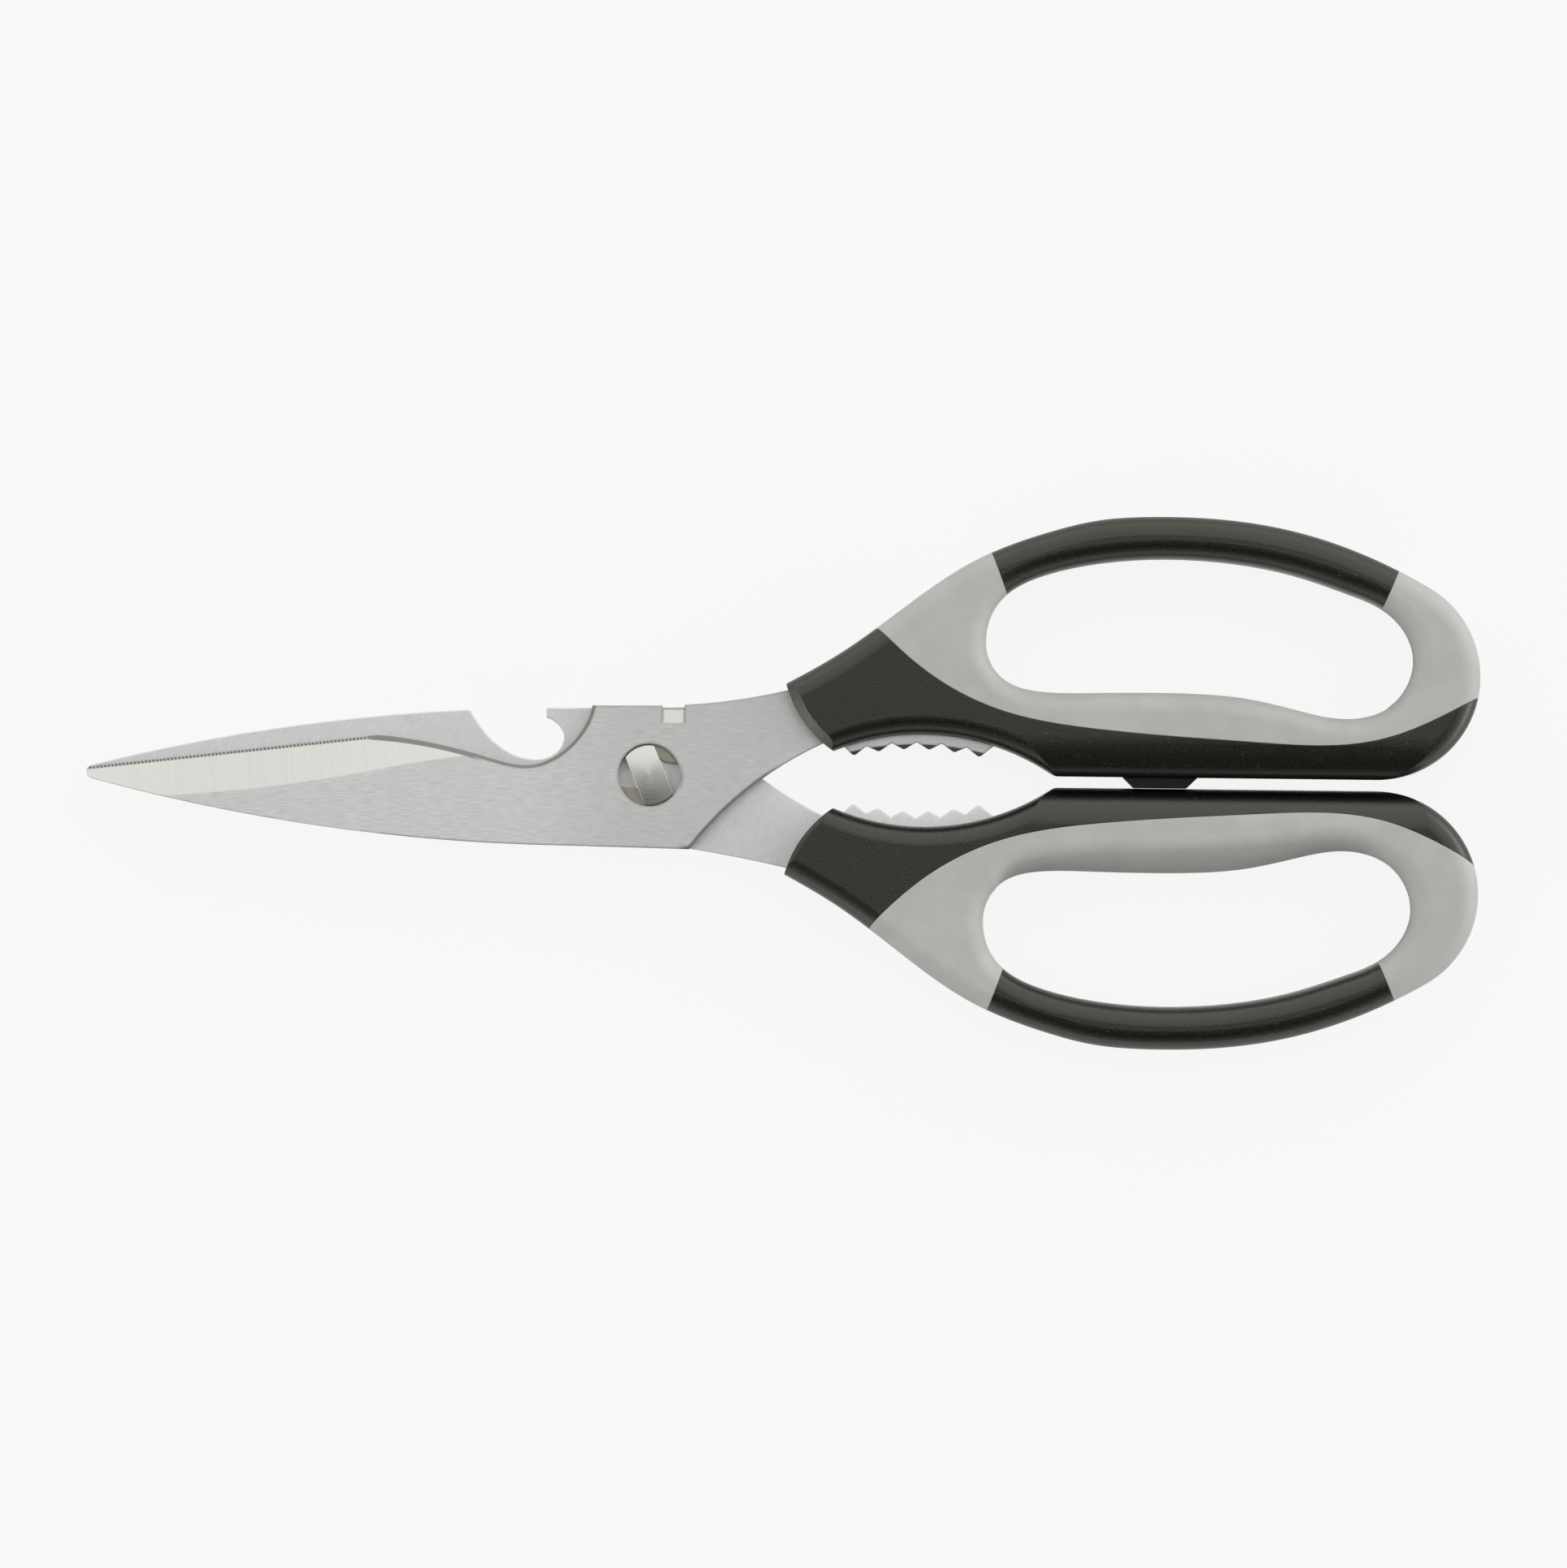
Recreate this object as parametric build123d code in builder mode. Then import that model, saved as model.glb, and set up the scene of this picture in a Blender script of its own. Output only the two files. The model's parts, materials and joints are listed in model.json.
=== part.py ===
from build123d import *

import os
from math import cos, radians, sin, sqrt, tan

# Take-apart kitchen shears, closed and lying flat, in millimetres and degrees.
# X runs from the blade tips to the handles, +Y is the side of the front handle, and Z = 0 is the underside.
# The origin is under the middle of the closed shears. The mirror line of the two halves is the X axis.
overall_length = 225.0
overall_width = 86.0
handle_thickness = 13.0
pivot_from_tip = 91.0
pivot_rise = 0.4

# Blades: stations are measured along X from the pivot, heights across from the mirror line
blade_thickness = 2.5
blade_gap = 0.05
blade_depth = 11.5
heel_station = 6.6
heel_radius = 0.4
tip_radius = 1.0
tip_drop = 0.1
tip_wrap_angle = 158.0
edge_angle = 6.8
edge_land = 0.3
front_edge_end = -44.1
rear_edge_end = -12.5
spine_shares = ((-0.555, -0.760), (-0.154, -0.967))
bevel_shares = (
    (-1.030, -0.360),
    (-0.866, -0.325),
    (-0.762, -0.262),
    (-0.657, -0.165),
    (-0.486, 0.068),
    (-0.300, 0.290),
)
rear_bevel_end_shares = (-0.125, 0.450)
recess_shares = ((-0.102, 1.004), (-0.138, 0.473), (-0.207, 0.161), (-0.292, 0.270), (-0.445, 0.527))
recess_chamfer = 0.55
recess_chamfer_depth = 0.65

# Fine serrations along the edge of the front blade, from the recess to the tip
serration_start = -45.5
serration_count = 74
serration_pitch = 0.6
serration_depth = 0.3
serration_lead_share = 0.7

# Shank and tang, which carry the blade through the pivot into its handle
shank_shares = ((0.170, -0.191), (0.312, 0.522))
shoulder_shares = ((0.242, 1.245), (0.127, 1.076), (0.014, 1.013))
rear_shoulder_shares = ((0.242, 1.245), (0.150, 1.096), (0.072, 0.993))
ricasso_share = 0.955
tang_length = 66.0
tang_end_height = 9.3
tang_end_radius = 2.0
tang_back_height = 15.2
tang_inner_height = 6.4
anchor_hole_radius = 2.1
anchor_hole_stations = (36.5, 54.0)
anchor_hole_height = 10.2

# Nutcracker jaws: a row of teeth on the inner edge of each tang
jaw_station = 43.15
jaw_radius = 44.0
jaw_height = 5.0
tooth_count = 6
tooth_pitch = 4.05
tooth_depth = 1.2
tooth_tip_radius = 0.6
tooth_valley_radius = 0.35
jaw_lead_share = 0.69
jaw_trail_share = 0.80
jaw_bevel_width = 0.8
jaw_bevel_depth = 1.0

# Relief ground into the back of the front blade, behind the pivot
relief_station = 2.0
relief_length = 3.6
relief_depth = 2.8
relief_drop = 0.4

# Crown-cap opener in the spine of the rear blade, measured from its hook
opener_station = -16.75
opener_height = -11.1
opener_width = 13.0
opener_depth = 8.4
opener_heel_radius = 0.8
opener_shares = (
    (-1.000, -0.060),
    (-0.900, 0.200),
    (-0.762, 0.495),
    (-0.529, 0.812),
    (-0.155, 1.000),
    (0.119, 0.871),
    (0.221, 0.550),
    (0.119, 0.282),
    (0.000, 0.190),
)

# Pivot stud: a domed T-head in the counterbore of the front blade, a round neck, and a flatted shank
# that is riveted into the rear blade
neck_radius = 3.0
running_clearance = 0.05
counterbore_radius = 5.05
counterbore_depth = 1.2
head_side_clearance = 0.25
head_width = 4.96
head_direction = 112.8
head_sink = 0.15
head_dome = 0.35
slot_width_clearance = 0.12
slot_direction = -10.4
shank_radius = 2.6
shank_flats = 4.2
rivet_radius = 3.6
rivet_depth = 0.9

# Handles: shares of an outline are taken of the handle's length from the collar and of half the width
collar_reach = 22.0
collar_height = 15.3
collar_radius = 18.5
collar_lean_angle = 15.0
collar_chamfer = 1.5
collar_rounding = 0.7
collar_overlap_share = 0.4
handle_gap = 1.8
edge_radius = 3.0
wall_rounding_share = 0.47
limb_rounding_share = 0.46
limb_crest_height = 7.6
limb_crown_drop = 1.7
limb_edge_radius = 2.5
gap_corner_radius = 2.0
throat_station = 44.2
throat_height = 7.45
throat_radius = 38.0
throat_front = 24.0
outer_neck_shares = ((-0.040, 0.302), (0.067, 0.458), (0.174, 0.660), (0.281, 0.843), (0.393, 0.951))
widest_share = 0.549
outer_rear_shares = (0.732, 0.949)
tail_share = 0.3872
tail_angle = 60.0
finger_hole_shares = (
    (0.287, 0.542),
    (0.318, 0.705),
    (0.393, 0.793),
    (0.558, 0.842),
    (0.710, 0.799),
    (0.826, 0.702),
    (0.888, 0.600),
    (0.906, 0.474),
    (0.886, 0.330),
    (0.826, 0.252),
    (0.705, 0.300),
    (0.536, 0.339),
    (0.393, 0.335),
    (0.324, 0.365),
)

# Finger relief: the wall of the hole slants beside the gap. This is its outline on the inner face, which lies
# beyond the hole's own outline along that limb only.
relief_shares = (
    (0.305, 0.520),
    (0.335, 0.660),
    (0.400, 0.740),
    (0.558, 0.790),
    (0.705, 0.750),
    (0.810, 0.660),
    (0.868, 0.570),
    (0.885, 0.460),
    (0.878, 0.320),
    (0.822, 0.210),
    (0.705, 0.217),
    (0.536, 0.245),
    (0.393, 0.268),
    (0.322, 0.318),
)
relief_reach_share = 0.77
relief_margin = 0.25
relief_rounding = 2.5
relief_skin = 2.2

# Soft grip moulded over a hard core: the seam on the outer face, and how far it leans to the inner face
grip_skin = 2.0
seam_lean = 2.05
seam_shares = (
    (0.098, 0.670),
    (0.146, 0.535),
    (0.211, 0.394),
    (0.305, 0.272),
    (0.446, 0.202),
    (0.679, 0.158),
    (0.855, 0.174),
    (0.948, 0.270),
    (1.036, 0.407),
)
bow_left_shares = ((0.279, 0.960), (0.327, 0.628))
bow_right_shares = ((0.897, 0.907), (0.848, 0.609))

# Bumper between the handles
bumper_station = 82.5
bumper_base = 12.0
bumper_tip = 8.4
bumper_tip_radius = 0.6
bumper_height = 6.0
bumper_seat = 1.2
bumper_clearance = 0.05
bumper_plug_length = 8.0
bumper_plug_depth = 2.0
bumper_plug_height = 4.0

# One overrun serves every cut
overrun = 3.0

# Number of steps in which a curve is followed at an inset
curve_steps = 20

# Places worked out from the sizes above
half_length = overall_length / 2
half_width = overall_width / 2
half_gap = handle_gap / 2
pivot_x = pivot_from_tip - half_length
handle_length = overall_length - pivot_from_tip - collar_reach
blade_base = (handle_thickness + blade_gap) / 2
blade_top = blade_base + blade_thickness
ledge_top = blade_top - counterbore_depth
limb_radius = limb_rounding_share * handle_thickness
tail_radius = tail_share * half_width

# Both halves are drawn seen from their own outer face. The rear half is the front one turned over about X.
front_side = Plane(origin=(pivot_x, 0, 0))
rear_side = Plane(origin=(pivot_x, 0, handle_thickness), x_dir=(1, 0, 0), z_dir=(0, 0, -1))
turned_over = Location((0, 0, handle_thickness), (180, 0, 0))


def blade_point(shares):
    """A point of a blade, from its shares of the blade's length and depth."""
    return (pivot_from_tip * shares[0], blade_depth * shares[1])


def handle_point(shares):
    """A point of a handle, from its shares of the handle's length and half the overall width."""
    return (collar_reach + handle_length * shares[0], half_width * shares[1])


def tip_point(angle):
    """The point of the rounded tip that lies in this direction from its centre."""
    along = tip_radius - pivot_from_tip + tip_radius * cos(radians(angle))
    return (along, tip_radius * sin(radians(angle)) - tip_drop)


def edge_height(station):
    """Height of the straight cutting edge at a station."""
    start = tip_point(90 + edge_angle)
    return start[1] + (station - start[0]) * tan(radians(edge_angle))


def jaw_line(station, rise):
    """The point at a station of the hollow line on which the teeth's tips lie, raised by this much."""
    return (station, jaw_height + rise - (station - jaw_station) ** 2 / (2 * jaw_radius))


first_tooth = jaw_station - tooth_pitch * (tooth_count - 1) / 2
tooth_tips = [jaw_line(first_tooth + tooth_pitch * tooth, 0) for tooth in range(tooth_count)]
tooth_valleys = [jaw_line(tip[0] + tooth_pitch / 2, tooth_depth) for tip in tooth_tips[:-1]]


def draw_spine():
    """Rounded tip and bowed spine, as far as the heel in front of the shank."""
    spine_start = tip_point(90 + edge_angle + tip_wrap_angle)
    ThreePointArc(tip_point(90 + edge_angle), (-pivot_from_tip, -tip_drop), spine_start)
    spine_end = blade_point(spine_shares[1])
    ThreePointArc(spine_start, blade_point(spine_shares[0]), spine_end)
    Line(spine_end, (heel_station, -blade_depth))


def draw_tang(shoulder_points):
    """Shank behind the heel, jaw teeth, end of the tang and its back, as far as the blade's shoulder."""
    shank_end = blade_point(shank_shares[1])
    ThreePointArc((heel_station, -blade_depth), blade_point(shank_shares[0]), shank_end)
    jaw_start = (tooth_tips[0][0] - tooth_pitch * jaw_lead_share, tang_inner_height)
    jaw_end = (tooth_tips[-1][0] + tooth_pitch * jaw_trail_share, tang_inner_height)
    Polyline(shank_end, jaw_start, *sorted(tooth_tips + tooth_valleys), jaw_end)
    end_lower = (tang_length - tang_end_radius, tang_end_height - tang_end_radius)
    end_upper = (tang_length - tang_end_radius, tang_end_height + tang_end_radius)
    Line(jaw_end, end_lower)
    ThreePointArc(end_lower, (tang_length, tang_end_height), end_upper)
    ThreePointArc(end_upper, (jaw_station, tang_back_height), shoulder_points[0])
    ThreePointArc(*shoulder_points)


def finish_tang():
    """Rounds the heel and the jaw teeth, and makes the anchor holes."""
    fillet(vertices().sort_by_distance((heel_station, -blade_depth))[0], heel_radius)
    fillet([vertices().sort_by_distance(tip)[0] for tip in tooth_tips], tooth_tip_radius)
    fillet([vertices().sort_by_distance(valley)[0] for valley in tooth_valleys], tooth_valley_radius)
    with Locations(*[(station, anchor_hole_height) for station in anchor_hole_stations]):
        Circle(anchor_hole_radius, mode=Mode.SUBTRACT)


def jaw_cutter(side):
    """The space ground away along the tips of the jaw teeth, on the outer face."""
    with BuildPart() as cutter:
        for rise in (-1, 1):
            with BuildSketch(side.offset(blade_top + rise * jaw_bevel_depth)):
                with Locations((jaw_station, jaw_height - jaw_radius)):
                    Circle(jaw_radius + (1 + rise) * jaw_bevel_width)
                with Locations((jaw_station, jaw_height)):
                    Rectangle(tooth_pitch * (tooth_count + 1), 2 * tang_inner_height, mode=Mode.INTERSECT)
        loft()
    return cutter.part


def shifted(curve, shift):
    """Points along a curve, each moved to the curve's left by the shift."""
    points = []
    for step in range(curve_steps + 1):
        heading = curve % (step / curve_steps)
        points.append(curve @ (step / curve_steps) + Vector(-heading.Y, heading.X) * shift)
    return points


def bevel_cutter(side, bevel_line):
    """The space ground away above the cutting bevel, through one section at each point of its line."""
    with BuildPart() as cutter:
        for station, inner in bevel_line:
            edge = edge_height(station)
            section = Plane(origin=side.from_local_coords((station, 0, 0)), x_dir=side.y_dir, z_dir=side.x_dir)
            with BuildSketch(section):
                with BuildLine():
                    Polyline(
                        (inner, blade_top),
                        (edge, blade_base + edge_land),
                        (edge + overrun, blade_base + edge_land),
                        (edge + overrun, blade_top + overrun),
                        (inner, blade_top + overrun),
                        close=True,
                    )
                make_face()
        loft()
    return cutter.part


# Front blade
front_shoulder = [blade_point(shares) for shares in shoulder_shares]
front_edge_corner = (front_edge_end, edge_height(front_edge_end))
recess_points = [blade_point(shares) for shares in recess_shares]
serrations = []
for notch in range(serration_count):
    crest = serration_start - serration_pitch * notch
    hollow = crest - serration_pitch * serration_lead_share
    serrations.append((crest, edge_height(crest)))
    serrations.append((hollow, edge_height(hollow) - serration_depth))

# Chamfer along the recess: its slanted side meets the wall at the chamfer's depth and runs on beyond it
with BuildPart() as recess_cutter:
    recess_curve = Spline(*recess_points, front_edge_corner, mode=Mode.PRIVATE)
    for rise in (-2, 1):
        recess_rim = shifted(recess_curve, (1 + rise) * recess_chamfer)
        above = blade_depth + overrun
        with BuildSketch(front_side.offset(blade_top + rise * recess_chamfer_depth)):
            with BuildLine():
                Spline(*recess_rim)
                Polyline(recess_rim[-1], (recess_rim[-1].X, above), (recess_rim[0].X, above), recess_rim[0])
            make_face()
    loft()

with BuildPart() as front_blade:
    with BuildSketch(front_side.offset(blade_base)):
        with BuildLine():
            draw_spine()
            draw_tang(front_shoulder)
            Line(front_shoulder[-1], recess_points[0])
            Spline(*recess_points, front_edge_corner)
            Polyline(front_edge_corner, *serrations, tip_point(90 + edge_angle))
        make_face()
        finish_tang()
    extrude(amount=blade_thickness)
    add(recess_cutter.part, mode=Mode.SUBTRACT)
    add(bevel_cutter(front_side, [blade_point(shares) for shares in bevel_shares]), mode=Mode.SUBTRACT)
    add(jaw_cutter(front_side), mode=Mode.SUBTRACT)
    # The T-head drops through the slot when the slot lines up with it, and turns in the counterbore
    with BuildSketch(front_side.offset(blade_top)):
        with Locations((0, pivot_rise)):
            Circle(counterbore_radius)
    extrude(amount=-counterbore_depth, mode=Mode.SUBTRACT)
    with BuildSketch(front_side.offset(blade_base)):
        with Locations((0, pivot_rise)):
            Rectangle(2 * counterbore_radius, head_width + 2 * slot_width_clearance, rotation=slot_direction)
            Circle(counterbore_radius, mode=Mode.INTERSECT)
            Circle(neck_radius + running_clearance)
    extrude(amount=blade_thickness, mode=Mode.SUBTRACT)
    # Slanted relief on the back edge
    relief_back = front_shoulder[-1][1]
    relief_plane = Plane(
        origin=front_side.from_local_coords((relief_station, 0, 0)), x_dir=front_side.y_dir, z_dir=front_side.x_dir
    )
    with BuildSketch(relief_plane):
        with BuildLine():
            Polyline(
                (relief_back - relief_depth, blade_top),
                (relief_back - relief_drop, blade_base),
                (relief_back + overrun, blade_base),
                (relief_back + overrun, blade_top + overrun),
                (relief_back - relief_depth, blade_top + overrun),
                close=True,
            )
        make_face()
    extrude(amount=relief_length, mode=Mode.SUBTRACT)

# Rear blade, with the opener in its spine and a straight edge down to the ricasso
rear_shoulder = [blade_point(shares) for shares in rear_shoulder_shares]
rear_edge_corner = (rear_edge_end, edge_height(rear_edge_end))
ricasso_corner = (rear_edge_end + blade_thickness, blade_depth * ricasso_share)
rear_bevel_shares = bevel_shares[:-1] + (rear_bevel_end_shares,)


def opener_point(shares):
    """A point of the opener, from its shares of the opener's width and depth."""
    return (opener_station + opener_width * shares[0], opener_height + opener_depth * shares[1])


with BuildPart() as rear_blade:
    with BuildSketch(rear_side.offset(blade_base)):
        with BuildLine():
            draw_spine()
            draw_tang(rear_shoulder)
            Polyline(rear_shoulder[-1], ricasso_corner, rear_edge_corner, tip_point(90 + edge_angle))
        make_face()
        finish_tang()
        with BuildLine():
            opener_curve = [opener_point(shares) for shares in opener_shares]
            Spline(*opener_curve)
            below = opener_height - overrun
            Polyline(opener_curve[-1], (opener_curve[-1][0], below), (opener_curve[0][0], below), opener_curve[0])
        make_face(mode=Mode.SUBTRACT)
        fillet(vertices().sort_by_distance(opener_curve[0])[0], opener_heel_radius)
    extrude(amount=blade_thickness)
    add(bevel_cutter(rear_side, [blade_point(shares) for shares in rear_bevel_shares]), mode=Mode.SUBTRACT)
    add(jaw_cutter(rear_side), mode=Mode.SUBTRACT)
    # Flatted hole with a countersink for the riveted end of the stud
    with BuildSketch(rear_side.offset(blade_base)):
        with Locations((0, -pivot_rise)):
            Circle(shank_radius)
            Rectangle(shank_flats, 2 * shank_radius, rotation=-slot_direction, mode=Mode.INTERSECT)
    extrude(amount=blade_thickness, mode=Mode.SUBTRACT)
    with BuildSketch(rear_side.offset(blade_top)):
        with Locations((0, -pivot_rise)):
            Circle(rivet_radius)
    with BuildSketch(rear_side.offset(blade_top - rivet_depth)):
        with Locations((0, -pivot_rise)):
            Circle(shank_radius)
    loft(mode=Mode.SUBTRACT)

# Pivot stud
head_radius = counterbore_radius - head_side_clearance
head_base = ledge_top + running_clearance
head_edge = blade_top - head_sink
rear_face = handle_thickness - blade_base

with BuildPart() as pivot_stud:
    stud_axis = Plane(origin=(pivot_x, pivot_rise, 0), x_dir=(1, 0, 0), z_dir=(0, -1, 0))
    with BuildSketch(stud_axis):
        with BuildLine():
            Line((0, head_base), (head_radius, head_base))
            Line((head_radius, head_base), (head_radius, head_edge))
            TangentArc((0, head_edge + head_dome), (head_radius, head_edge), tangent=(1, 0))
            Line((0, head_edge + head_dome), (0, head_base))
        make_face()
    revolve(axis=Axis((pivot_x, pivot_rise, 0), (0, 0, 1)))
    with BuildSketch(Plane(origin=(pivot_x, pivot_rise, head_base))):
        Rectangle(2 * counterbore_radius, head_width, rotation=head_direction)
    extrude(amount=handle_thickness, mode=Mode.INTERSECT)
    with BuildSketch(Plane(origin=(pivot_x, pivot_rise, rear_face))):
        Circle(neck_radius)
    extrude(amount=head_base - rear_face)
    with BuildSketch(Plane(origin=(pivot_x, pivot_rise, rear_face))):
        Circle(shank_radius)
        Rectangle(shank_flats, 2 * shank_radius, rotation=slot_direction, mode=Mode.INTERSECT)
    extrude(amount=-blade_thickness)
    with BuildSketch(Plane(origin=(pivot_x, pivot_rise, handle_thickness - blade_top))):
        Circle(rivet_radius)
    with BuildSketch(Plane(origin=(pivot_x, pivot_rise, handle_thickness - blade_top + rivet_depth))):
        Circle(shank_radius)
    loft()

# Outer form of a handle: a loop with rounded edges, cut off by the bowed front of its collar
collar_centre = (
    collar_reach + collar_radius * cos(radians(collar_lean_angle)),
    collar_height + collar_radius * sin(radians(collar_lean_angle)),
)
handle_end = overall_length - pivot_from_tip


def draw_handle(inset):
    """Closed outline of a handle without its finger hole, drawn in from the edge by the inset."""
    neck_points = [handle_point(shares) for shares in outer_neck_shares]
    neck_heading = (neck_points[1][0] - neck_points[0][0], neck_points[1][1] - neck_points[0][1])
    widest = handle_point((widest_share, 1))
    tail_centre = (handle_end - tail_radius, half_gap + tail_radius)
    tail = CenterArc(tail_centre, tail_radius - inset, tail_angle, -90 - tail_angle)
    tail_start = (
        tail_centre[0] + tail_radius * cos(radians(tail_angle)),
        tail_centre[1] + tail_radius * sin(radians(tail_angle)),
    )
    neck = Spline(*neck_points, widest, tangents=(neck_heading, (1, 0)), mode=Mode.PRIVATE)
    back = Spline(
        widest, handle_point(outer_rear_shares), tail_start, tangents=((1, 0), tail % 0), mode=Mode.PRIVATE
    )
    neck_edge = Spline(*shifted(neck, -inset), tangents=(neck % 0, neck % 1))
    Spline(*shifted(back, -inset)[:-1], tail @ 0, tangents=(back % 0, back % 1))
    throat_centre_height = throat_height - throat_radius
    arc_radius = throat_radius + inset
    corner_height = half_gap + inset
    corner_reach = sqrt(arc_radius**2 - (corner_height - throat_centre_height) ** 2)
    front_height = throat_centre_height + sqrt(arc_radius**2 - (throat_station - throat_front) ** 2)
    corner = (throat_station + corner_reach, corner_height)
    Line(tail @ 1, corner)
    throat = ThreePointArc(corner, (throat_station, throat_height + inset), (throat_front, front_height))
    Line(throat @ 1, neck_edge @ 0)
    return corner


def draw_finger_hole(inset):
    """Outline of the finger hole, drawn out from its edge by the inset."""
    hole = Spline(*[handle_point(shares) for shares in finger_hole_shares], periodic=True, mode=Mode.PRIVATE)
    Spline(*shifted(hole, inset)[:-1], periodic=True)


with BuildPart() as collar_limit:
    with BuildSketch(front_side):
        with Locations(collar_centre):
            Circle(collar_radius)
    extrude(amount=handle_thickness)
    collar_rims = collar_limit.edges().filter_by(GeomType.CIRCLE).sort_by(Axis.Z)
    chamfer(collar_rims[-1], length=collar_chamfer)
    fillet(collar_rims[0], radius=collar_rounding)
    box_start = collar_centre[0] - collar_radius * collar_overlap_share
    with BuildSketch(front_side):
        with Locations((box_start, -overrun)):
            Rectangle(handle_end + overrun - box_start, half_width + 2 * overrun, align=(Align.MIN, Align.MIN))
    extrude(amount=handle_thickness)

# The limb beside the gap is crowned on its outer face and fully rounded on its inner one
with BuildPart() as gap_limit:
    with BuildSketch(Plane(origin=(pivot_x, 0, 0), x_dir=(0, 1, 0), z_dir=(1, 0, 0))):
        with BuildLine():
            crown_end = (half_gap, handle_thickness - limb_crown_drop)
            inner_end = (half_gap + limb_radius, 0)
            TangentArc((limb_crest_height, handle_thickness), crown_end, tangent=(-1, 0))
            Line(crown_end, (half_gap, limb_radius))
            TangentArc((half_gap, limb_radius), inner_end, tangent=(0, -1))
            Polyline(
                inner_end,
                (half_width + overrun, 0),
                (half_width + overrun, handle_thickness),
                (limb_crest_height, handle_thickness),
            )
        make_face()
        fillet(vertices().sort_by_distance(crown_end)[0], limb_edge_radius)
    extrude(amount=handle_end + overrun)

# The wall of the finger hole slants towards the inner face, with a rounded crest
with BuildPart() as finger_relief:
    with BuildSketch(front_side):
        with BuildLine():
            Spline(*[handle_point(shares) for shares in relief_shares], periodic=True)
        make_face()
    with BuildSketch(front_side.offset(handle_thickness * relief_reach_share)):
        with BuildLine():
            draw_finger_hole(-relief_margin)
        make_face()
    loft()

with BuildPart() as relief_limit:
    with BuildSketch(front_side):
        with Locations((0, -overrun)):
            Rectangle(handle_end + overrun, half_width + 2 * overrun, align=(Align.MIN, Align.MIN))
    extrude(amount=handle_thickness)
    add(finger_relief.part, mode=Mode.SUBTRACT)
    fillet(relief_limit.edges().filter_by(GeomType.BSPLINE).sort_by(Axis.Z)[0], relief_rounding)

with BuildPart() as handle_form:
    with BuildSketch(front_side) as loop_outline:
        with BuildLine():
            gap_corner = draw_handle(0)
        make_face()
        fillet(vertices().sort_by_distance(gap_corner)[0], gap_corner_radius)
        with BuildLine():
            draw_finger_hole(0)
        make_face(mode=Mode.SUBTRACT)
    extrude(amount=handle_thickness)
    loop_wall = loop_outline.face().outer_wire().distance_to(loop_outline.face().inner_wires()[0])
    fillet(handle_form.faces().filter_by(Axis.Z).edges(), min(edge_radius, wall_rounding_share * loop_wall))
    add(collar_limit.part, mode=Mode.INTERSECT)
    add(gap_limit.part, mode=Mode.INTERSECT)
    add(relief_limit.part, mode=Mode.INTERSECT)

# Hard frame that runs right round the loop under the soft skin
with BuildPart() as handle_frame:
    with BuildSketch(front_side.offset(grip_skin)):
        with BuildLine():
            draw_handle(grip_skin)
        make_face()
        with BuildLine():
            draw_finger_hole(grip_skin)
        make_face(mode=Mode.SUBTRACT)
    extrude(amount=handle_thickness - 2 * grip_skin)
    add(relief_limit.part.moved(Location((0, -relief_skin, 0))), mode=Mode.INTERSECT)

# Space of the soft grip: all of the loop beyond the leaning seam but the bow, less the frame
with BuildPart() as grip_space:
    with BuildSketch(front_side):
        seam_points = [handle_point(shares) for shares in seam_shares]
        inner_seam = [(along, height - seam_lean) for along, height in seam_points]
        far_height = 2 * half_width
        with BuildLine():
            Spline(*inner_seam)
            Polyline(inner_seam[-1], (inner_seam[-1][0], far_height), (inner_seam[0][0], far_height), inner_seam[0])
        make_face()
    extrude(amount=sqrt(handle_thickness**2 + seam_lean**2), dir=(0, seam_lean, handle_thickness))
    with BuildSketch(front_side):
        with BuildLine():
            Polyline(
                *[handle_point(shares) for shares in bow_left_shares],
                *[handle_point(shares) for shares in reversed(bow_right_shares)],
                (handle_point(bow_right_shares[0])[0], far_height),
                (handle_point(bow_left_shares[0])[0], far_height),
                close=True,
            )
        make_face()
    extrude(amount=handle_thickness, mode=Mode.SUBTRACT)
    add(handle_frame.part, mode=Mode.SUBTRACT)

# Bumper plugged into the front handle
with BuildPart() as bumper_plug:
    with BuildSketch(front_side.offset((handle_thickness - bumper_plug_height) / 2)):
        with Locations((bumper_station, half_gap)):
            Rectangle(bumper_plug_length, bumper_plug_depth, align=(Align.CENTER, Align.MIN))
    extrude(amount=bumper_plug_height)

with BuildPart() as handle_bumper:
    with BuildSketch(front_side.offset((handle_thickness - bumper_height) / 2)):
        bumper_face = bumper_clearance - half_gap
        with BuildLine():
            Polyline(
                (bumper_station - bumper_base / 2, half_gap + bumper_seat),
                (bumper_station - bumper_base / 2, half_gap),
                (bumper_station - bumper_tip / 2, bumper_face),
                (bumper_station + bumper_tip / 2, bumper_face),
                (bumper_station + bumper_base / 2, half_gap),
                (bumper_station + bumper_base / 2, half_gap + bumper_seat),
                close=True,
            )
        make_face()
        fillet(vertices().group_by(Axis.Y)[0], bumper_tip_radius)
    extrude(amount=bumper_height)
    add(handle_form.part, mode=Mode.SUBTRACT)
    add(bumper_plug.part)

# The four mouldings of the handles: the rear handle is the front one turned over
with BuildPart() as front_handle_grip:
    add(handle_form.part)
    add(grip_space.part, mode=Mode.INTERSECT)
    add(front_blade.part, mode=Mode.SUBTRACT)

with BuildPart() as handle_core:
    add(handle_form.part)
    add(grip_space.part, mode=Mode.SUBTRACT)

with BuildPart() as front_handle_core:
    add(handle_core.part)
    add(front_blade.part, mode=Mode.SUBTRACT)
    add(bumper_plug.part, mode=Mode.SUBTRACT)

with BuildPart() as rear_handle_core:
    add(handle_core.part.moved(turned_over))
    add(rear_blade.part, mode=Mode.SUBTRACT)

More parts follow.
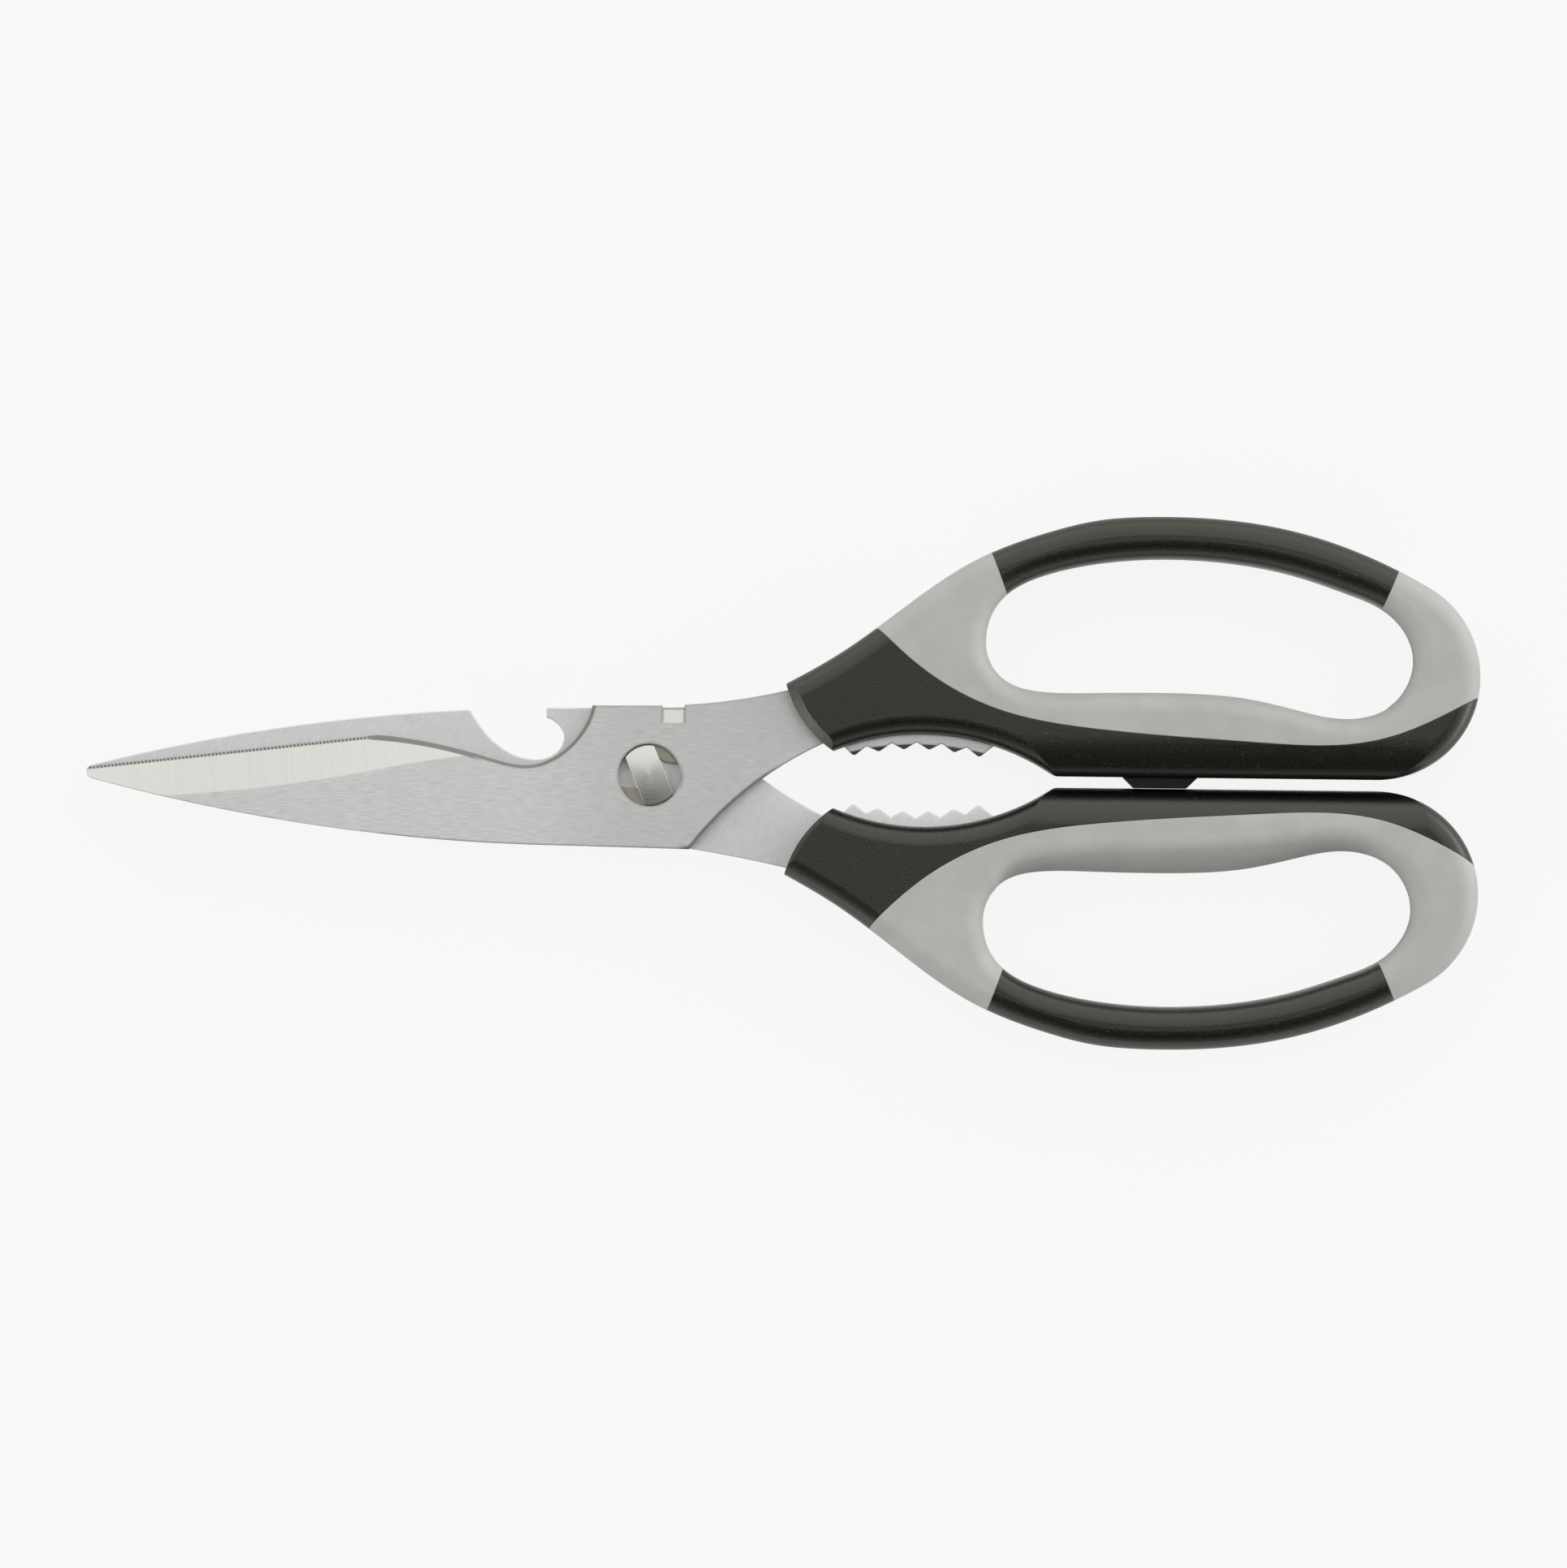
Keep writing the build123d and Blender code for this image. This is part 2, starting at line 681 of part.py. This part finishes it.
with BuildPart() as rear_handle_grip:
    add(front_handle_grip.part.moved(turned_over))

# Files, one for each piece
pieces = {
    "front_blade": front_blade,
    "rear_blade": rear_blade,
    "pivot_stud": pivot_stud,
    "front_handle_core": front_handle_core,
    "front_handle_grip": front_handle_grip,
    "rear_handle_core": rear_handle_core,
    "rear_handle_grip": rear_handle_grip,
    "handle_bumper": handle_bumper,
}
os.makedirs("parts", exist_ok=True)
for name, piece in pieces.items():
    piece.part.label = name
    export_step(piece.part, f"parts/{name}.step")
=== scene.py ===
import json
from math import cos, radians, sin

import bpy
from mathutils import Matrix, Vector

# Kitchen shears on a white table, seen from straight above. Lengths are in metres.
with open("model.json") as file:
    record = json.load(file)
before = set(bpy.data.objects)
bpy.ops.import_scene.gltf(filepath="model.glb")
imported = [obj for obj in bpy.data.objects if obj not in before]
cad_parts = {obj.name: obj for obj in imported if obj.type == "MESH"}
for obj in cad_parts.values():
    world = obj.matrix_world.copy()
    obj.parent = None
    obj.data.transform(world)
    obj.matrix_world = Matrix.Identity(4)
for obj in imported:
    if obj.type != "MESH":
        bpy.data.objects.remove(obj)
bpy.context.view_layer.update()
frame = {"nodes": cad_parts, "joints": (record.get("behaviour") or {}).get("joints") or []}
nodes = frame["nodes"]
pivot = Vector(frame["joints"][0]["pos_m"])

MM = 0.001

# Where a pair of numbers names a span, a mask runs smoothly from its first number to its second.

# Camera: the picture is VIEW_WIDTH wide at the height of VIEW_CENTRE, and the shears lie turned a little in it
VIEW_WIDTH = 253.2 * MM
VIEW_CENTRE = Vector((0.20 * MM, -0.80 * MM, 9.0 * MM))
VIEW_TURN = radians(0.642)
LENS = 250.0
SENSOR = 36.0
FAR_CLIP = 100.0

# Steel: how level a surface is on the flat faces, and on the walls of the outline, as spans
FACE_LEVELS = (0.975, 0.990)
WALL_LEVELS = (0.69, 0.655)
FACE_ROUGHNESS = 0.40
BEVEL_ROUGHNESS = 0.36
GRAIN_ROUGHNESS = 0.08
BRUSH_LENGTH, BRUSH_WIDTH = 2.2 * MM, 0.17 * MM
GRIND_LENGTH, GRIND_WIDTH = 14 * MM, 0.55 * MM
STREAK_DETAIL = 3.0
CLOUD_SHARE = 0.10
CLOUD_STEEL = (0.68, 0.68, 0.74)
GROUND_STEEL = ((0.652, 0.654, 0.617), (0.706, 0.708, 0.669))
WALL_STEEL = ((0.21, 0.21, 0.19), (0.32, 0.32, 0.29))

# Counterbore of the front blade: the heights between which its floor turns darker and tan, and how far from the
# pivot
COUNTERBORE_HEIGHTS = (8.6 * MM, 8.2 * MM)
COUNTERBORE_REACH = (6.5 * MM, 7.0 * MM)
COUNTERBORE_STEEL = (0.42, 0.40, 0.34)

# Painted shade of the ground land beside the bevel: a dark band along the edge y = LAND_HEIGHT + LAND_SLOPE u +
# LAND_BEND u u, where u is X from LAND_ORIGIN. It starts between the two widths in from that edge, and X bounds
# it by the spans START and END.
LAND_ORIGIN = -62 * MM
LAND_HEIGHT = 6.06 * MM
LAND_SLOPE = -0.1144
LAND_BEND = -7.09
LAND_WIDTHS = (0.95 * MM, 0.72 * MM)
LAND_START = (-67.4 * MM, -66.4 * MM)
LAND_END = (-51 * MM, -48 * MM)
LAND_PAINTED_SHADE = (0.24, 0.235, 0.22)

# Serrated edge of the front blade: its start at the tip, its slope in degrees, its length, and its nicks, each
# with a painted shadow
EDGE_START = Vector((-111.62 * MM, 0.89 * MM, 0))
EDGE_ANGLE = 6.8
EDGE_LENGTH = 44.9 * MM
EDGE_FADE = 0.3 * MM
NICK_PITCH = 0.604 * MM
NICK_FLANK = (0.25 * NICK_PITCH / 2, 0.75 * NICK_PITCH / 2)
NICK_DEPTH = (-0.60 * MM, -0.34 * MM)
NICK_LEAST = 0.45
NICK_PAINTED_SHADOW = (0.10, 0.095, 0.08)

# Painted shade along the sharp edges of the front blade, and a wider, darker painted shadow along its heel,
# which lies beyond HEEL_X and below HEEL_Y
EDGE_TURNS = (0.985, 0.93)
RIM_WIDTH, RIM_SHARE = 0.65 * MM, 0.7
RIM_PAINTED_SHADE = (0.30, 0.29, 0.27)
HEEL_X = (-17 * MM, -15.5 * MM)
HEEL_Y = (0, 3 * MM)
HEEL_WIDTH, HEEL_SHARE = 1.3 * MM, 0.95
HEEL_PAINTED_SHADOW = (0.04, 0.04, 0.03)

# Stud
RING_WIDTH = 0.16 * MM
STUD_STEEL = ((0.60, 0.605, 0.562), (0.80, 0.81, 0.755))

# Plastics and rubber: the darkest and lightest shade of each, and the colour of its specks
BLACK_PLASTIC = ((0.0007, 0.0007, 0.0005), (0.0018, 0.0018, 0.0014))
BLACK_GLOSS_TINT = (1.0, 1.0, 0.87)
PLASTIC_SPECK_AND_GLINT = (0.22, 0.22, 0.20)
GREY_RUBBER = ((0.448, 0.455, 0.423), (0.481, 0.487, 0.455))
RUBBER_SPECK = (0.80, 0.81, 0.77)
BUMPER_PLASTIC = ((0.001, 0.001, 0.001), (0.003, 0.003, 0.003))
SPECK_SIZE = 0.24 * MM
SPECK_STRENGTH = 0.45

# Table: what of its own glow the camera sees, and what polished pieces mirror
TABLE_SIZE = 6.0
TABLE_DROP = 0.05 * MM
TABLE_WHITE = (0.65, 0.65, 0.65)
GLOW_WHITE = (1, 1, 0.998)
GLOW_STRENGTH = 0.985
GLOW_SEEN = 0.90
GLOW_MIRRORED = 0.60

# Light: a white studio, dimmer on the near side, with a large soft window at the far right, a low strip of light
# on the right, a low skyline on the near side, a small lamp at the near left, and the dark camera stand overhead
UP = (0, 0, 1)
TO_NEAR_SIDE = (0, -1, 0)
TO_WINDOW = (0.52, 0.85, 0)
TO_SIDE = (1, 0.05, 0)
TO_LAMP = (-0.78, -0.56, 0.28)
TO_STAND = (0.05, -0.44, 0.90)
ROOM_LIGHT = 0.94
NEAR_SHARE = 0.35
WINDOW_LIGHT = 0.46
HIGH_WINDOW_SHARE = 0.40
SIDE_LIGHT = 2.1
SKYLINE_LIGHT = 0.75
LAMP_LIGHT = 2.2
STAND_SHARE = 0.02
BACKDROP_LIGHT = 0.95


# Node graphs


def new_material(name):
    """A material with its node tree and its Principled shader."""
    material = bpy.data.materials.new(name)
    material.use_nodes = True
    tree = material.node_tree
    return material, tree, tree.nodes["Principled BSDF"]


def add_node(tree, kind, **settings):
    """A shader node of this kind with these settings."""
    made = tree.nodes.new("ShaderNode" + kind)
    for key, value in settings.items():
        setattr(made, key, value)
    return made


def socket(tree, target, value):
    """Gives a node's input a value, a colour of three numbers, or the output of another node."""
    if isinstance(value, bpy.types.NodeSocket):
        tree.links.new(value, target)
    elif target.type == "RGBA":
        target.default_value = (*value, 1)
    else:
        target.default_value = value


def set_inputs(tree, shader, values):
    """Gives the shader's inputs these values, by the inputs' names."""
    for name, value in values.items():
        socket(tree, shader.inputs[name], value)


def math_node(tree, operation, first, second=0.0):
    made = add_node(tree, "Math", operation=operation)
    socket(tree, made.inputs[0], first)
    socket(tree, made.inputs[1], second)
    return made.outputs[0]


def times(tree, first, second):
    return math_node(tree, "MULTIPLY", first, second)


def vector_node(tree, operation, first, second=(0, 0, 0)):
    """Vector maths, whose result is a number for a product, a distance or a length."""
    made = add_node(tree, "VectorMath", operation=operation)
    socket(tree, made.inputs[0], first)
    socket(tree, made.inputs[1], second)
    is_number = operation in ("DOT_PRODUCT", "DISTANCE", "LENGTH")
    return made.outputs["Value" if is_number else "Vector"]


def dot_with(tree, vector, direction):
    """How far a vector points along a direction."""
    return vector_node(tree, "DOT_PRODUCT", vector, Vector(direction).normalized())


def split(tree, vector):
    """The X, Y and Z parts of a vector."""
    made = add_node(tree, "SeparateXYZ")
    socket(tree, made.inputs["Vector"], vector)
    return made.outputs["X"], made.outputs["Y"], made.outputs["Z"]


def remap(tree, value, low, high, to_low=0.0, to_high=1.0):
    """The value's way from low to high, as a smooth way from to_low to to_high."""
    made = add_node(tree, "MapRange", interpolation_type="SMOOTHSTEP")
    for target, given in zip(made.inputs, (value, low, high, to_low, to_high)):
        socket(tree, target, given)
    return made.outputs["Result"]


def fade(tree, value, low, high):
    """A mask that is 1 up to low and 0 from high on."""
    return remap(tree, value, low, high, 1.0, 0.0)


def mix(tree, kind, factor, first, second):
    """A blend that is the first at factor 0 and the second at factor 1."""
    made = add_node(tree, "Mix", data_type=kind)
    set_inputs(tree, made, {"Factor": factor, "A": first, "B": second})
    return made.outputs["Result"]


def mix_colors(tree, factor, first, second):
    return mix(tree, "RGBA", factor, first, second)


# Textures


def place(tree):
    """Where a point of the surface lies on its piece."""
    return add_node(tree, "TexCoord").outputs["Object"]


def noise(tree, size, detail=2.0, vector=None):
    """Noise whose grains have about this size."""
    made = add_node(tree, "TexNoise")
    set_inputs(tree, made, {"Vector": vector or place(tree), "Scale": 1 / size, "Detail": detail})
    return made.outputs["Fac"]


def spread(tree, grain, low, high):
    """Noise, spread out between these two values."""
    return remap(tree, grain, 0.3, 0.7, low, high)


def clouds(tree, size, detail):
    """Soft patches of about this size."""
    return remap(tree, noise(tree, size, detail), 0.35, 0.65)


def streaks(tree, angle, length, width):
    """Noise drawn out into streaks that lie at this angle from the X axis."""
    turn = add_node(tree, "Mapping", vector_type="POINT")
    set_inputs(tree, turn, {"Vector": place(tree), "Rotation": (0, 0, -radians(angle))})
    stretch = add_node(tree, "Mapping", vector_type="POINT")
    set_inputs(tree, stretch, {"Vector": turn.outputs["Vector"], "Scale": (width / length, 1, width / length)})
    return noise(tree, width, STREAK_DETAIL, stretch.outputs["Vector"])


def specks(tree, spacing, share):
    """Round specks, strewn over a share of the cells of a grid with this spacing."""
    cells = add_node(tree, "TexVoronoi")
    set_inputs(tree, cells, {"Vector": place(tree), "Scale": 1 / spacing})
    radius = SPECK_SIZE / (2 * spacing)
    near = fade(tree, cells.outputs["Distance"], 0.6 * radius, radius)
    drawn = add_node(tree, "SeparateColor")
    socket(tree, drawn.inputs["Color"], cells.outputs["Color"])
    chosen = math_node(tree, "LESS_THAN", drawn.outputs["Red"], share)
    return times(tree, near, chosen)


# Shape of the surface


def facing_up(tree):
    """How level the surface is: 1 where it faces straight up or down, 0 on an upright wall."""
    to_object = add_node(
        tree, "VectorTransform", vector_type="NORMAL", convert_from="WORLD", convert_to="OBJECT"
    )
    socket(tree, to_object.inputs["Vector"], add_node(tree, "NewGeometry").outputs["True Normal"])
    return math_node(tree, "ABSOLUTE", split(tree, to_object.outputs["Vector"])[2])


def soft_edges(tree, radius):
    """Shading normal of edges that are rounded by this radius."""
    made = add_node(tree, "Bevel", samples=6)
    socket(tree, made.inputs["Radius"], radius)
    return made.outputs["Normal"]


def near_edge(tree, width, share):
    """A mask along sharp edges, which reaches this share at the edge itself."""
    true_normal = add_node(tree, "NewGeometry").outputs["True Normal"]
    turned = vector_node(tree, "DOT_PRODUCT", soft_edges(tree, width), true_normal)
    return remap(tree, turned, *EDGE_TURNS, 0.0, share)


def relief(tree, height, depth, edge_radius):
    """Shading normal of a surface with this relief and with rounded edges."""
    made = add_node(tree, "Bump")
    set_inputs(tree, made, {"Distance": depth, "Height": height, "Normal": soft_edges(tree, edge_radius)})
    return made.outputs["Normal"]


# Materials


def land_shade_mask(tree, x, y):
    """Mask of the painted shade of the ground land beside the bevel of the front blade."""
    run = math_node(tree, "SUBTRACT", x, LAND_ORIGIN)
    curve = times(tree, math_node(tree, "ADD", times(tree, run, LAND_BEND), LAND_SLOPE), run)
    height = math_node(tree, "SUBTRACT", y, curve)
    land = remap(tree, height, *(LAND_HEIGHT - width for width in LAND_WIDTHS))
    land = times(tree, land, remap(tree, x, *LAND_START))
    return times(tree, land, fade(tree, x, *LAND_END))


def serrations(tree, where):
    """Masks of the painted shadow in the nicks of the serrated edge, and of the length that is serrated."""
    from_tip = vector_node(tree, "SUBTRACT", where, EDGE_START)
    angle = radians(EDGE_ANGLE)
    along = dot_with(tree, from_tip, (cos(angle), sin(angle), 0))
    across = dot_with(tree, from_tip, (-sin(angle), cos(angle), 0))
    nick = remap(tree, math_node(tree, "PINGPONG", along, NICK_PITCH / 2), *NICK_FLANK, NICK_LEAST, 1.0)
    serrated = fade(tree, along, EDGE_LENGTH, EDGE_LENGTH + EDGE_FADE)
    at_edge = times(tree, remap(tree, across, *NICK_DEPTH), serrated)
    return times(tree, at_edge, nick), serrated


def front_details(tree, steel):
    """What only the front blade has: a darker, tan counterbore floor, painted shade of the ground land, painted
    shadow in the nicks and painted shade along its edges.
    """
    where = place(tree)
    x, y, z = split(tree, where)
    near_pivot = fade(tree, vector_node(tree, "DISTANCE", where, pivot), *COUNTERBORE_REACH)
    sunk = times(tree, remap(tree, z, *COUNTERBORE_HEIGHTS), near_pivot)
    steel = mix_colors(tree, sunk, steel, COUNTERBORE_STEEL)
    # Painted shade: the ground land beside the bevel is drawn as a dark band
    steel = mix_colors(tree, land_shade_mask(tree, x, y), steel, LAND_PAINTED_SHADE)
    nicks, serrated = serrations(tree, where)
    # Painted shadow in the nicks of the serrated edge
    steel = mix_colors(tree, nicks, steel, NICK_PAINTED_SHADOW)
    # Painted shade along the sharp edges, left off the serrated length
    rim = times(tree, near_edge(tree, RIM_WIDTH, RIM_SHARE), math_node(tree, "SUBTRACT", 1.0, serrated))
    steel = mix_colors(tree, rim, steel, RIM_PAINTED_SHADE)
    # Painted shadow along the heel, which stands over the rear blade
    heel = times(tree, remap(tree, x, *HEEL_X), fade(tree, y, *HEEL_Y))
    heel_shadow = times(tree, near_edge(tree, HEEL_WIDTH, HEEL_SHARE), heel)
    return mix_colors(tree, heel_shadow, steel, HEEL_PAINTED_SHADOW)


def blade_steel(name, brush_angle, dark, light, tang, tang_painted_shading, details=None):
    """Satin stainless steel: the faces are brushed one way, the bevel is ground square to the edge.

    Over the span of X that tang gives, the colours of the faces change to the given share of themselves: painted
    shading, darker or lighter, of how the light falls along the blade.
    """
    material, tree, shader = new_material(name)
    level = facing_up(tree)
    on_face = remap(tree, level, *FACE_LEVELS)
    on_wall = remap(tree, level, *WALL_LEVELS)
    face_grain = streaks(tree, brush_angle, BRUSH_LENGTH, BRUSH_WIDTH)
    bevel_grain = streaks(tree, 90 + EDGE_ANGLE, GRIND_LENGTH, GRIND_WIDTH)
    grain = spread(tree, mix(tree, "FLOAT", on_face, bevel_grain, face_grain), 0.0, 1.0)
    steel = mix_colors(tree, grain, dark, light)
    cloud = times(tree, clouds(tree, 3.5 * MM, 1.0), CLOUD_SHARE)
    steel = mix_colors(tree, cloud, steel, CLOUD_STEEL)
    # Painted shading: the faces turn darker or lighter towards the tang
    tang_dark, tang_light = (tuple(tang_painted_shading * part for part in color) for color in (dark, light))
    tang_shading_mask = remap(tree, split(tree, place(tree))[0], *tang)
    steel = mix_colors(tree, tang_shading_mask, steel, mix_colors(tree, grain, tang_dark, tang_light))
    steel = mix_colors(tree, on_face, mix_colors(tree, grain, *GROUND_STEEL), steel)
    if details:
        steel = details(tree, steel)
    wall = mix_colors(tree, noise(tree, 0.3 * MM), *WALL_STEEL)
    roughness = mix(tree, "FLOAT", on_face, BEVEL_ROUGHNESS, FACE_ROUGHNESS)
    set_inputs(tree, shader, {
        "Base Color": mix_colors(tree, on_wall, steel, wall),
        "Metallic": 1.0,
        "Roughness": math_node(tree, "ADD", roughness, times(tree, grain, GRAIN_ROUGHNESS)),
        "Anisotropic": 0.55,
        "Tangent": mix(tree, "VECTOR", on_face, (0, 1, 0), (1, 0, 0)),
        "Normal": relief(tree, grain, 0.003 * MM, 0.28 * MM),
    })
    return material


def stud_steel(name):
    """Turned stainless steel, with fine rings round the pivot."""
    material, tree, shader = new_material(name)
    from_pivot = vector_node(tree, "SUBTRACT", place(tree), pivot)
    round_pivot = vector_node(tree, "CROSS_PRODUCT", (0, 0, 1), from_pivot)
    ring = add_node(tree, "CombineXYZ")
    socket(tree, ring.inputs["X"], times(tree, vector_node(tree, "LENGTH", round_pivot), 1 / RING_WIDTH))
    grain = noise(tree, 1.0, vector=ring.outputs["Vector"])
    set_inputs(tree, shader, {
        "Base Color": mix_colors(tree, grain, *STUD_STEEL),
        "Metallic": 1.0,
        "Roughness": spread(tree, grain, 0.26, 0.32),
        "Anisotropic": 0.75,
        "Tangent": vector_node(tree, "NORMALIZE", round_pivot),
        "Normal": relief(tree, grain, 0.001 * MM, 0.12 * MM),
    })
    return material


def black_plastic(name):
    """Black moulded plastic with a spark-eroded texture and pale specks, partly dust and partly painted glints
    of the texture.
    """
    material, tree, shader = new_material(name)
    grain = noise(tree, 0.24 * MM)
    patches = remap(tree, noise(tree, 7 * MM, 1.0), 0.42, 0.62, 0.25, 1.0)
    # Pale specks: partly dust, partly painted glints of the grained surface
    pale_specks = times(tree, times(tree, specks(tree, 0.85 * MM, 0.35), patches), SPECK_STRENGTH)
    set_inputs(tree, shader, {
        "Base Color": mix_colors(tree, pale_specks, mix_colors(tree, grain, *BLACK_PLASTIC), PLASTIC_SPECK_AND_GLINT),
        "Roughness": spread(tree, grain, 0.27, 0.37),
        "Specular IOR Level": 0.88,
        "Specular Tint": BLACK_GLOSS_TINT,
        "Normal": relief(tree, grain, 0.03 * MM, 0.2 * MM),
    })
    return material


def grip_rubber(name):
    """Grey soft-touch rubber with a fine matt grain and a few pale specks."""
    material, tree, shader = new_material(name)
    grain = noise(tree, 0.35 * MM, 3.0)
    base = mix_colors(tree, clouds(tree, 5 * MM, 2.0), *GREY_RUBBER)
    pale_specks = times(tree, specks(tree, 1.3 * MM, 0.10), SPECK_STRENGTH)
    set_inputs(tree, shader, {
        "Base Color": mix_colors(tree, pale_specks, base, RUBBER_SPECK),
        "Roughness": spread(tree, grain, 0.56, 0.70),
        "Sheen Weight": 0.06,
        "Sheen Roughness": 0.5,
        "Normal": relief(tree, grain, 0.02 * MM, 0.18 * MM),
    })
    return material


def bumper_plastic(name):
    """Smoother black plastic of the bumper."""
    material, tree, shader = new_material(name)
    grain = noise(tree, 0.5 * MM)
    set_inputs(tree, shader, {
        "Base Color": mix_colors(tree, grain, *BUMPER_PLASTIC),
        "Roughness": spread(tree, grain, 0.34, 0.44),
        "Specular IOR Level": 0.32,
        "Normal": relief(tree, grain, 0.015 * MM, 0.25 * MM),
    })
    return material


def table_material(name):
    """White table: it shows plain white and keeps a faint shadow of the shears."""
    material, tree, shader = new_material(name)
    set_inputs(tree, shader, {"Base Color": TABLE_WHITE, "Roughness": 1.0, "Specular IOR Level": 0.0})
    glow = add_node(tree, "Emission")
    set_inputs(tree, glow, {"Color": GLOW_WHITE, "Strength": GLOW_STRENGTH})
    rays = add_node(tree, "LightPath")
    seen = math_node(tree, "MAXIMUM", rays.outputs["Is Camera Ray"], rays.outputs["Is Transmission Ray"])
    seen = times(tree, seen, GLOW_SEEN)
    mirrored = times(tree, rays.outputs["Is Glossy Ray"], GLOW_MIRRORED)
    blend = add_node(tree, "MixShader")
    socket(tree, blend.inputs[0], math_node(tree, "MAXIMUM", seen, mirrored))
    socket(tree, blend.inputs[1], shader.outputs[0])
    socket(tree, blend.inputs[2], glow.outputs[0])
    socket(tree, tree.nodes["Material Output"].inputs["Surface"], blend.outputs[0])
    return material


front_steel = blade_steel(
    "front_blade_steel",
    brush_angle=0.0,
    dark=(0.721, 0.721, 0.711),
    light=(0.820, 0.820, 0.810),
    tang=(-44 * MM, -22 * MM),
    # Painted shade: the front blade's faces darker towards the tang
    tang_painted_shading=0.87,
    details=front_details,
)
rear_steel = blade_steel(
    "rear_blade_steel",
    brush_angle=57.0,
    dark=(0.750, 0.750, 0.746),
    light=(0.840, 0.840, 0.836),
    tang=(-8 * MM, 14 * MM),
    # Painted light: the rear blade's faces lighter towards the tang
    tang_painted_shading=1.19,
)
handle_black = black_plastic("handle_black")
grip_grey = grip_rubber("grip_grey")
finishes = {
    "front_blade": front_steel,
    "rear_blade": rear_steel,
    "pivot_stud": stud_steel("stud_steel_turned"),
    "front_handle_core": handle_black,
    "rear_handle_core": handle_black,
    "front_handle_grip": grip_grey,
    "rear_handle_grip": grip_grey,
    "handle_bumper": bumper_plastic("bumper_black"),
}
for name, material in finishes.items():
    for material_slot in nodes[name].material_slots:
        material_slot.material = material


# Table

bpy.ops.mesh.primitive_plane_add(size=TABLE_SIZE, location=(0, 0, -TABLE_DROP))
table = bpy.context.object
table.name = "table"
table.data.materials.append(table_material("white_table"))


# Light


def studio_world():
    """The studio's light, by the direction that it comes from, and a plain backdrop for the camera."""
    world = bpy.data.worlds.new("studio")
    bpy.context.scene.world = world
    world.use_nodes = True
    tree = world.node_tree
    toward = add_node(tree, "TexCoord").outputs["Generated"]
    rise = dot_with(tree, toward, UP)
    near = dot_with(tree, toward, TO_NEAR_SIDE)
    room = times(tree, remap(tree, near, 0.20, 0.80, 1.0, NEAR_SHARE), ROOM_LIGHT)
    window = remap(tree, dot_with(tree, toward, TO_WINDOW), -0.05, 0.45, 0.0, WINDOW_LIGHT)
    window = times(tree, window, remap(tree, rise, 0.30, 0.58, 1.0, HIGH_WINDOW_SHARE))
    side = remap(tree, dot_with(tree, toward, TO_SIDE), 0.62, 0.86, 0.0, SIDE_LIGHT)
    side = times(tree, side, fade(tree, rise, 0.26, 0.46))
    lamp = remap(tree, dot_with(tree, toward, TO_LAMP), 0.945, 0.985, 0.0, LAMP_LIGHT)
    skyline = remap(tree, near, 0.30, 0.70, 0.0, SKYLINE_LIGHT)
    skyline = times(tree, skyline, fade(tree, rise, 0.12, 0.34))
    level = room
    for light in (window, side, lamp, skyline):
        level = math_node(tree, "ADD", level, light)
    stand = remap(tree, dot_with(tree, toward, TO_STAND), 0.815, 0.955, 1.0, STAND_SHARE)
    level = times(tree, level, stand)
    is_camera_ray = add_node(tree, "LightPath").outputs["Is Camera Ray"]
    set_inputs(tree, tree.nodes["Background"], {
        "Color": (1, 1, 1),
        "Strength": mix(tree, "FLOAT", is_camera_ray, level, BACKDROP_LIGHT),
    })


studio_world()


# Camera

camera_data = bpy.data.cameras.new("camera")
camera = bpy.data.objects.new("camera", camera_data)
bpy.context.scene.collection.objects.link(camera)
camera_data.lens = LENS
camera_data.sensor_width = SENSOR
camera_data.clip_end = FAR_CLIP
camera.rotation_euler = (0, 0, VIEW_TURN)
camera.location = VIEW_CENTRE + Vector((0, 0, VIEW_WIDTH * LENS / SENSOR))
bpy.context.scene.camera = camera

view = bpy.context.scene.view_settings
view.view_transform = "Standard"
